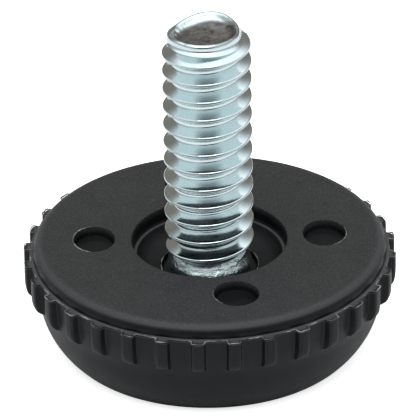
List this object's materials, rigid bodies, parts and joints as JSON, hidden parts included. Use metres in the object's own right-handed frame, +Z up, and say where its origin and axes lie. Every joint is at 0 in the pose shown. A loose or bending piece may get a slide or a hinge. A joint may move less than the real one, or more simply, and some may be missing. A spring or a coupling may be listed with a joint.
{
  "type": "furniture leveling foot",
  "caption": "Round finger-ribbed plastic glide with a moulded-in threaded steel stud, screwed into a furniture leg to level it.",
  "frame": {"origin": "on the stud's axis at the level of the floor, the middle of the base's underside", "axes": "+Z up along the stud, away from the floor; -Y is the front, where the front dimple is"},
  "size_m": [0.02, 0.02, 0.0185],
  "materials": {
    "base_plastic": "fine moulded texture, charcoal black",
    "plated_steel": "bright zinc plate with a pale blue tint"
  },
  "bodies": {
    "root": {"knurled_base": "base_plastic", "threaded_stud": "plated_steel"}
  },
  "joints": []
}
